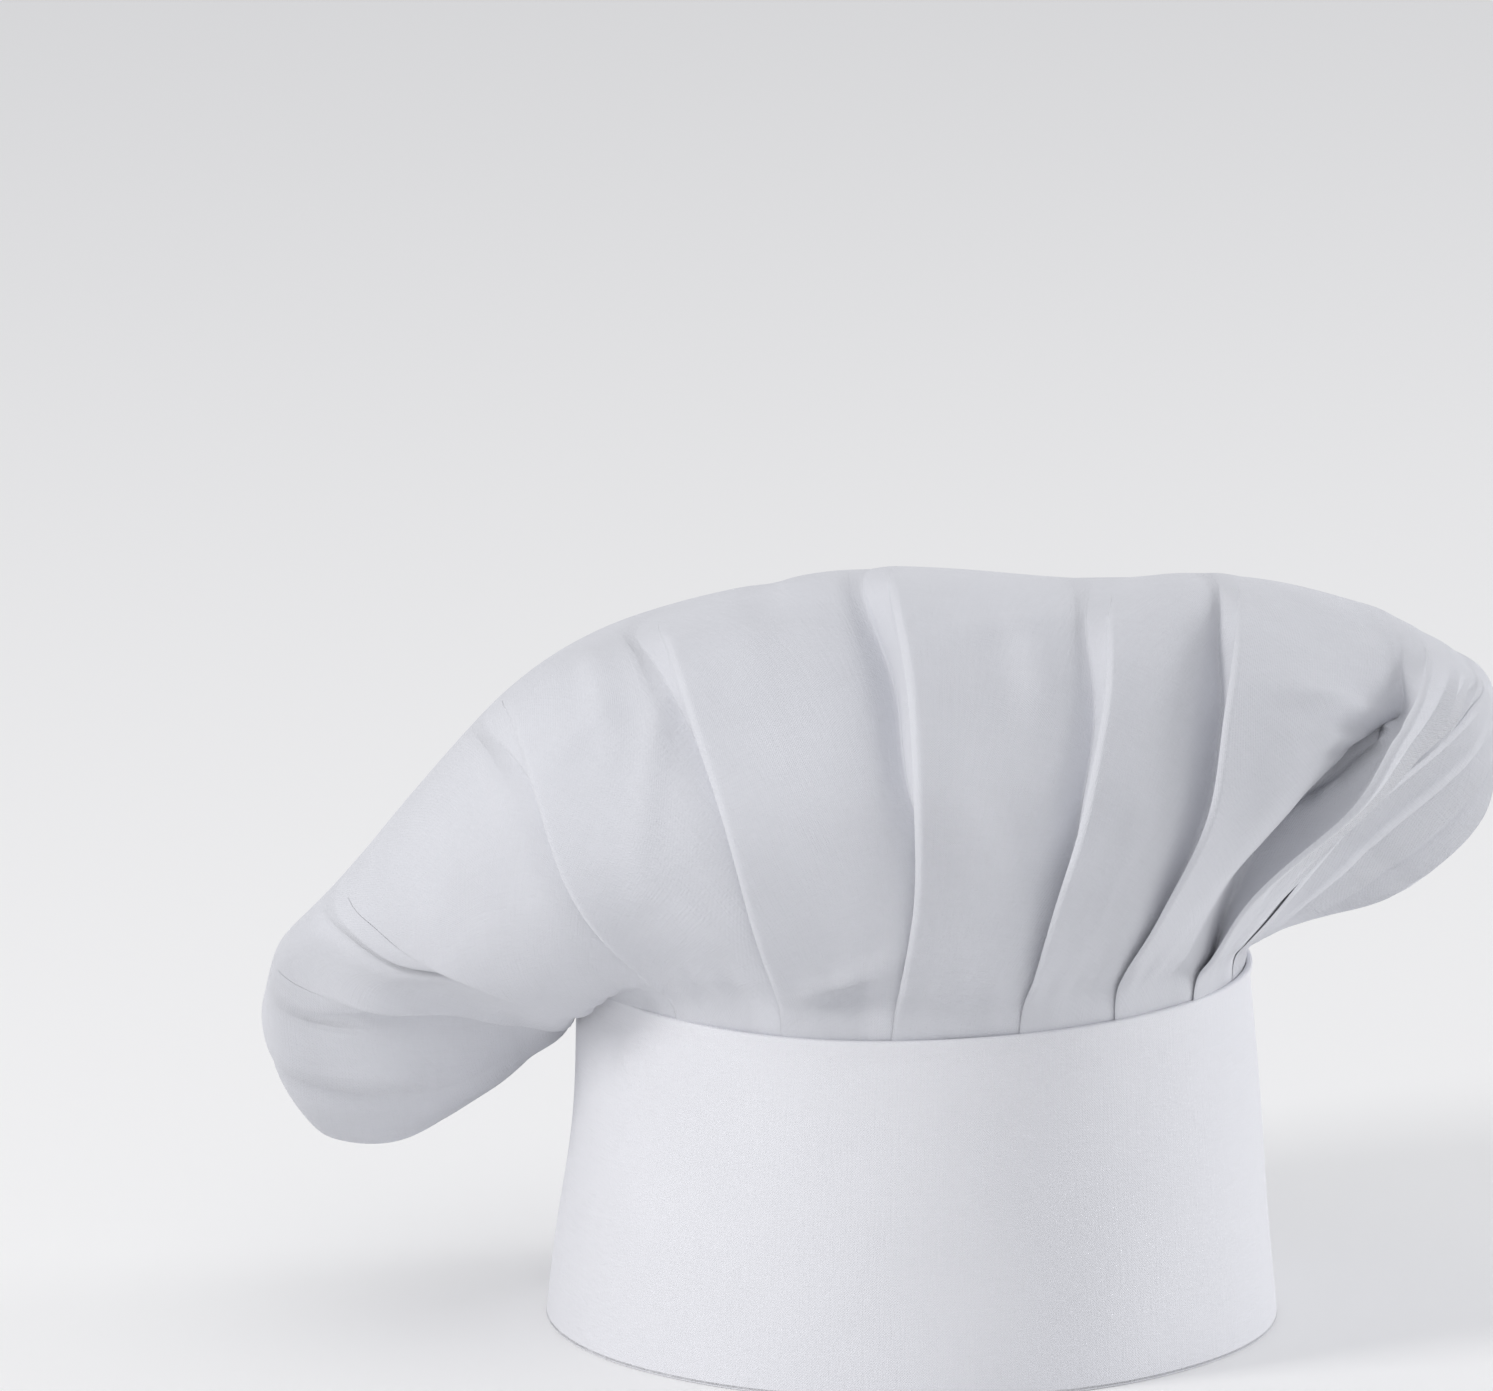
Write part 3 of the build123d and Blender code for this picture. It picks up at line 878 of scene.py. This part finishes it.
seam_height = sum(node_heights("crown_seam_thread")) / 2
seam_rows = [
    stitch_row((closed_turns[4], height), (closed_turns[-4], height), binding_faces[1])
    for height in (seam_height, seam_height - 4.6)
]
sew("crown_seam_stitches", seam_rows, "crown_seam_thread")

# The hem of the crown's free edge, which tucks in behind the tab.
hem_turns = np.linspace(tip_turn + 5, root_turn - 3, 60)
hem_ends = plateau(hem_turns, hem_turns[0], hem_turns[-1], 3)
hem_row_height = 87.0
crown_hem = ribbon("crown_hem", hem_turns, crown_hem_faces, low=86.5 - 2.7 * hem_ends, high=88.4, rows=8)
fit_piece(crown_hem, crown_white_painted_shade)
hem_row = stitch_row((hem_turns[3], hem_row_height), (hem_turns[-4], hem_row_height), 3.05)
sew("crown_hem_stitches", [hem_row], pitch=2.6)

# ---- The tab, with rounded corners at its tip ----

tab_low, tab_high = node_heights("tab_outer")
tab_corner = 9.0


def corner_turns(margin, count):
    """Turns along the tab's rounded corners, at a margin inside its edge."""
    share = 1 - np.cos(np.radians(np.linspace(4, 90, count)))
    return tip_turn + (margin + tab_corner * share) / turn_length


def corner_cut(turns, margin):
    """How much a margin and a rounded corner take off the tab's height at each turn."""
    radius = tab_corner - margin
    missing = np.clip(tab_corner - (turns - tip_turn) * turn_length, 0, radius)
    return tab_corner - np.sqrt(radius**2 - missing**2)


def tab_layer(name, faces, margin, material, slot, node, **edges):
    """Makes and fits a layer of the tab, set in from the tab's outline by a margin."""
    corner = corner_turns(margin, 16)
    turns = np.concatenate([corner, np.linspace(corner[-1], root_turn - 0.02, 60)[1:]])
    cut = corner_cut(turns, margin)
    piece = ribbon(name, turns, faces, tab_low + cut, tab_high - cut, **edges)
    fit_piece(piece, material, node, "tab")


tab_layer("tab_cloth", outer_faces, 0.0, band_white, "band_cloth", "tab_outer", bottom_to=1.5, top_to=1.5)
tab_layer("tab_stiffener", stiffener_faces, 1.2, stiffener_white, "interfacing", "tab_interfacing", rows=12)
tab_layer("tab_lining_cloth", lining_faces, 0.5, lining_white, "lining_cloth", "tab_lining")

# The topstitching follows the tab's edge.
edge_margin = 2.6
edge_inset = -0.02
root_side = root_turn - edge_margin / turn_length
row_turns = np.append(corner_turns(edge_margin, 24), root_side)
row_insets = np.full(len(row_turns), edge_inset)
row_cut = corner_cut(row_turns, edge_margin)
lower, upper = tab_low + row_cut, tab_high - row_cut
tab_rows = [
    (row_turns, lower, row_insets),
    (row_turns, upper, row_insets),
    stitch_row((root_side, lower[-1]), (root_side, upper[-1]), edge_inset),
    stitch_row((row_turns[0], lower[0]), (row_turns[0], upper[0]), edge_inset),
]


def refined(column):
    """A row's numbers at more, evenly spaced places."""
    return np.interp(np.linspace(0, 1, 240), np.linspace(0, 1, len(column)), column)


tab_rows = [tuple(refined(column) for column in row) for row in tab_rows]
sew("tab_edge_stitches", tab_rows, "tab_edge_thread", "tab")

# ---- The hook tape inside the tab, and the loop tape outside the underlap ----

tape_low, tape_high = node_heights("hook_tape")
tape_margin = 2.5
nap_margin = 1.3
tape_heights = (tape_low + tape_margin, tape_high - tape_margin)


def margin_turns(turns, margin):
    """Two turns, each moved inwards by a margin in millimetres."""
    return turns[0] + margin / turn_length, turns[1] - margin / turn_length


def nap(turns, pitch, along, rise, inset, lean):
    """Lines for hooks or loops all over a tape. along and rise give one, and lean turns each at random."""
    inside = margin_turns(turns, nap_margin)
    across = int((inside[1] - inside[0]) * turn_length / pitch)
    up = int((tape_high - tape_low - 2 * nap_margin) / pitch)
    levels = np.linspace(tape_low + nap_margin, tape_high - nap_margin, up)
    turn, height = np.meshgrid(np.linspace(*inside, across), levels)
    turn = turn.ravel() + rng.normal(0, 0.12 / turn_length, turn.size)
    height = height.ravel() + rng.normal(0, 0.12, height.size)
    heading = rng.normal(0, lean, turn.size)[:, None]
    turn = turn[:, None] + along * np.cos(heading) / turn_length
    height = height[:, None] + along * np.sin(heading)
    stand = rise * rng.uniform(0.85, 1.0, len(turn))[:, None]
    lines, normals = on_wall(turn, height, inset + stand)
    tangent = np.stack([-normals[..., 1], normals[..., 0], 0 * normals[..., 0]], -1)
    return lines, np.cross(tangent, normals)


def tape(kind, turns, columns, faces, nap_lines, width, material, row_inset, body="band"):
    """Makes and fits the hook or the loop tape: its ground, its nap of strands and its stitches."""
    slot = f"{kind}_tape"
    ground = ribbon(f"{slot}_ground", np.linspace(*turns, columns), faces, tape_low, tape_high, rows=16)
    fit_piece(ground, tape_white, slot, body)
    fit_piece(strands(f"{kind}_nap", *nap_lines, width, width), material, None, body)
    rows = stitch_box(margin_turns(turns, tape_margin), tape_heights, row_inset)
    sew(f"{slot}_stitches", rows, f"{slot}_thread", body)


hook_along = (0, 0, 0.02, 0.14, 0.34, 0.42)
hook_rise = (0, 0.25, 0.45, 0.57, 0.54, 0.4)
hook_lines = nap(hook_turns, 1.25, hook_along, hook_rise, inset=2.88, lean=0.15)
tape("hook", hook_turns, 40, hook_tape_faces, hook_lines, 0.3, hook_white, edge_inset, "tab")
loop_along = (-0.55, -0.4, -0.15, 0.15, 0.4, 0.55)
loop_rise = (0, -0.32, -0.55, -0.55, -0.32, 0)
loop_lines = nap(loop_turns, 1.05, loop_along, loop_rise, inset=4.27, lean=1.6)
tape("loop", loop_turns, 60, loop_tape_faces, loop_lines, 0.2, loop_white, duck_depth + 2.75)

# ---- The size label, which hangs from a hem sewn to the lining on the wearer's right ----

label_box = [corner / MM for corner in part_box("size_label")]
label_half = (label_box[1].y - label_box[0].y) / 2
hem_low, hem_high = node_heights("label_hem")
label_turns = -90 + np.linspace(-1, 1, 24) * label_half / turn_length
label_hem = ribbon("label_hem_fold", label_turns, label_hem_faces, hem_low, hem_high, rows=8)
fit_piece(label_hem, label_white, "label_hem")
hem_middle = (hem_low + hem_high) / 2
label_row = stitch_row((label_turns[1], hem_middle), (label_turns[-2], hem_middle), label_hem_faces[1])
sew("label_stitches", [label_row], "label_thread", pitch=2.2, gap=0.4, width=0.45, stand=0.28)


def make_label(rows=30, columns=34):
    """The hanging part: a thin, slightly bowed rectangle with raised woven edges."""
    half = 0.27
    top = label_box[1].z + 0.3
    drop = np.linspace(0, 1, rows)[:, None]
    width = np.linspace(-1, 1, columns)
    z = top - drop * (top - label_box[0].z)
    middle = (label_box[0].x + label_box[1].x) / 2
    bow = 0.5 * drop**2 + 0.25 * drop * np.sin(2.5 * width + 0.6)
    x = middle - 0.9 * (1 - smoothstep(0, 0.14, drop)) + bow
    border = 0.1 * (bump(np.abs(width), 0.9, 0.03) + bump(drop, 0.93, 0.02))
    y = width * label_half * (1 - 0.012 * drop) + 0 * z
    x, border, z = x + 0 * y, border + 0 * y, z + 0 * y
    front = np.stack([x + half + border, y, z], -1)
    back = np.stack([x - half, y, z], -1)[:, ::-1]
    points = np.concatenate([front, back], 1)
    piece = grid_object("size_label_cloth", points, points[..., 1:] * MM)
    cap_ends(piece, points.shape[1])
    return piece


label = make_label()
label.data.materials.append(label_white)
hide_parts("size_label")
# The label bends over a short length from its top edge down.
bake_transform(label)

# ---- The crown's material ----

# The crown's colour carries painted shade as well as its own greyer white.
fit_piece(crown, crown_white_painted_shade, "crown")


# ---- The floor, the lights and the camera ----

floor = new_object("floor", [(-15, -15, 0), (15, -15, 0), (15, 15, 0), (-15, 15, 0)], [(0, 1, 2, 3)])
floor_material = bpy.data.materials.new("floor_paper")
floor_material.use_nodes = True
floor_shader = floor_material.node_tree.nodes["Principled BSDF"]
floor_shader.inputs["Base Color"].default_value = (0.96, 0.96, 0.96, 1)
floor_shader.inputs["Roughness"].default_value = 0.9
floor.data.materials.append(floor_material)


def area_light(name, place, towards, size, power, colour=(1, 1, 1)):
    data = bpy.data.lights.new(name, "AREA")
    data.shape = "RECTANGLE"
    data.size, data.size_y = size
    data.energy = power
    data.color = colour
    lamp = bpy.data.objects.new(name, data)
    lamp.location = place
    lamp.rotation_euler = (Vector(towards) - Vector(place)).to_track_quat("-Z", "Y").to_euler()
    bpy.context.scene.collection.objects.link(lamp)


# Each light's place, the point that it shines at, its size in metres, its power in watts and its colour.
area_light("key", (-2.2, -1.1, 1.4), (0, 0, 0.12), (0.8, 0.8), 27, (1.0, 0.985, 0.965))
area_light("fill", (-0.7, -2.4, 0.35), (0, 0, 0.06), (1.2, 0.8), 2.2, (0.98, 0.98, 1.0))
area_light("side", (2.1, 0.8, 0.3), (0, 0, 0.05), (0.7, 0.6), 20)
area_light("overhead", (0.0, 0.0, 2.4), (0, 0, 0.1), (3.0, 3.0), 9)

world = bpy.data.worlds.new("studio")
world.use_nodes = True
background = world.node_tree.nodes["Background"]
background.inputs["Color"].default_value = (0.97, 0.975, 1.0, 1)
background.inputs["Strength"].default_value = 0.6
bpy.context.scene.world = world
bpy.context.scene.view_settings.view_transform = "Standard"

# A long lens from well back, looking a little down at the hat's front.
camera_distance = 5.0
camera_drop = math.radians(11)
camera_data = bpy.data.cameras.new("camera")
camera_data.sensor_width = 36
camera_data.lens = 487.3
camera_data.clip_end = 60
camera = bpy.data.objects.new("camera", camera_data)
aim = Vector((-0.0411, 0, 0.156))
ahead = Vector((0, math.cos(camera_drop), -math.sin(camera_drop)))
camera.location = aim - ahead * camera_distance
camera.rotation_euler = ahead.to_track_quat("-Z", "Y").to_euler()
bpy.context.scene.collection.objects.link(camera)
bpy.context.scene.camera = camera
